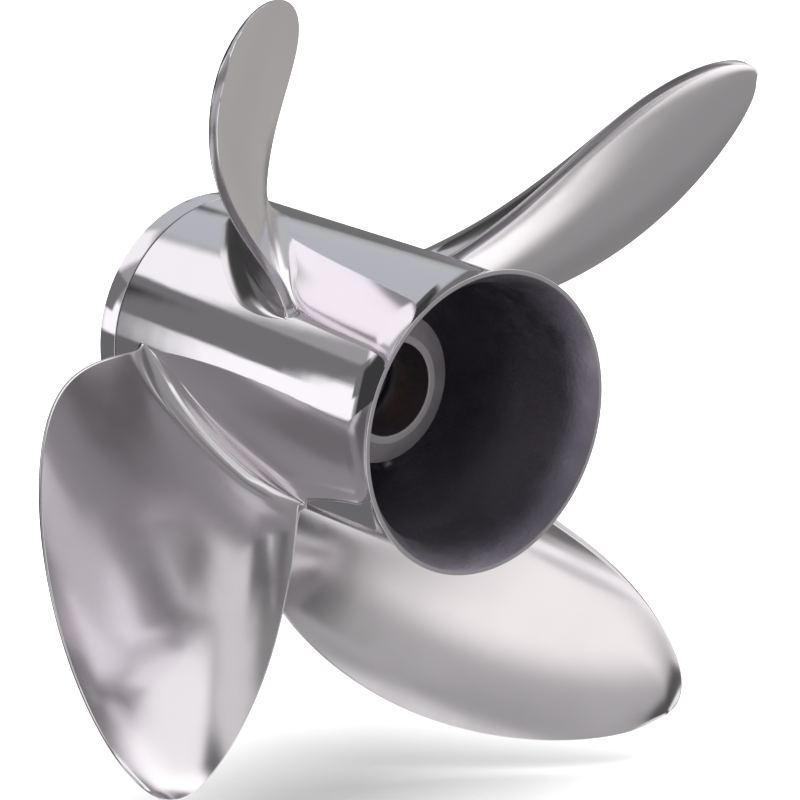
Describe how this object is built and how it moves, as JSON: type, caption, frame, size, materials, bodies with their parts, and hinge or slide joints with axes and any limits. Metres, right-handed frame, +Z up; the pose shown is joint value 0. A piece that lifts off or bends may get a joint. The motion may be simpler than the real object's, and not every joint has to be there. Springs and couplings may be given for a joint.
{
  "type": "boat propeller",
  "caption": "Right-hand outboard propeller: raked, cupped blades on a through-hub exhaust barrel with a flared lip, carried on a rubber-cushioned splined core.",
  "frame": {"origin": "on the shaft axis, at the front face of the splined drive core, where its pilot bore opens", "axes": "+Y along the shaft axis, forward to the gearcase; +Z up; +X to starboard. The exhaust outlet faces -Y."},
  "size_m": [0.3326, 0.1785, 0.3326],
  "materials": {
    "polished_stainless": "mirror polished",
    "satin_stainless": "satin polished",
    "as_cast_stainless": "as cast, matte",
    "sleeve_alloy": "machined",
    "core_brass": "machined",
    "washer_bronze": "machined",
    "spacer_steel": "machined",
    "cushion_rubber": "moulded, matte"
  },
  "bodies": {
    "hub_core": {"drive_core": "core_brass", "thrust_washer": "washer_bronze", "rear_spacer": "spacer_steel", "rubber_cushion": "cushion_rubber"},
    "propeller": {"barrel": "polished_stainless", "diffuser_ring": "polished_stainless", "inner_hub": "as_cast_stainless", "rib_1": "as_cast_stainless", "rib_2": "as_cast_stainless", "rib_3": "as_cast_stainless", "blade_1": "satin_stainless", "blade_2": "satin_stainless", "blade_3": "satin_stainless", "blade_4": "satin_stainless", "bushing_sleeve": "sleeve_alloy"}
  },
  "joints": [
    {"name": "cushion_twist", "type": "hinge", "parent": "hub_core", "child": "propeller", "pos_m": [0, 0, 0], "axis": [0, 1, 0], "range_deg": [-10, 10], "stiffness_Nm_per_rad": 3000}
  ]
}
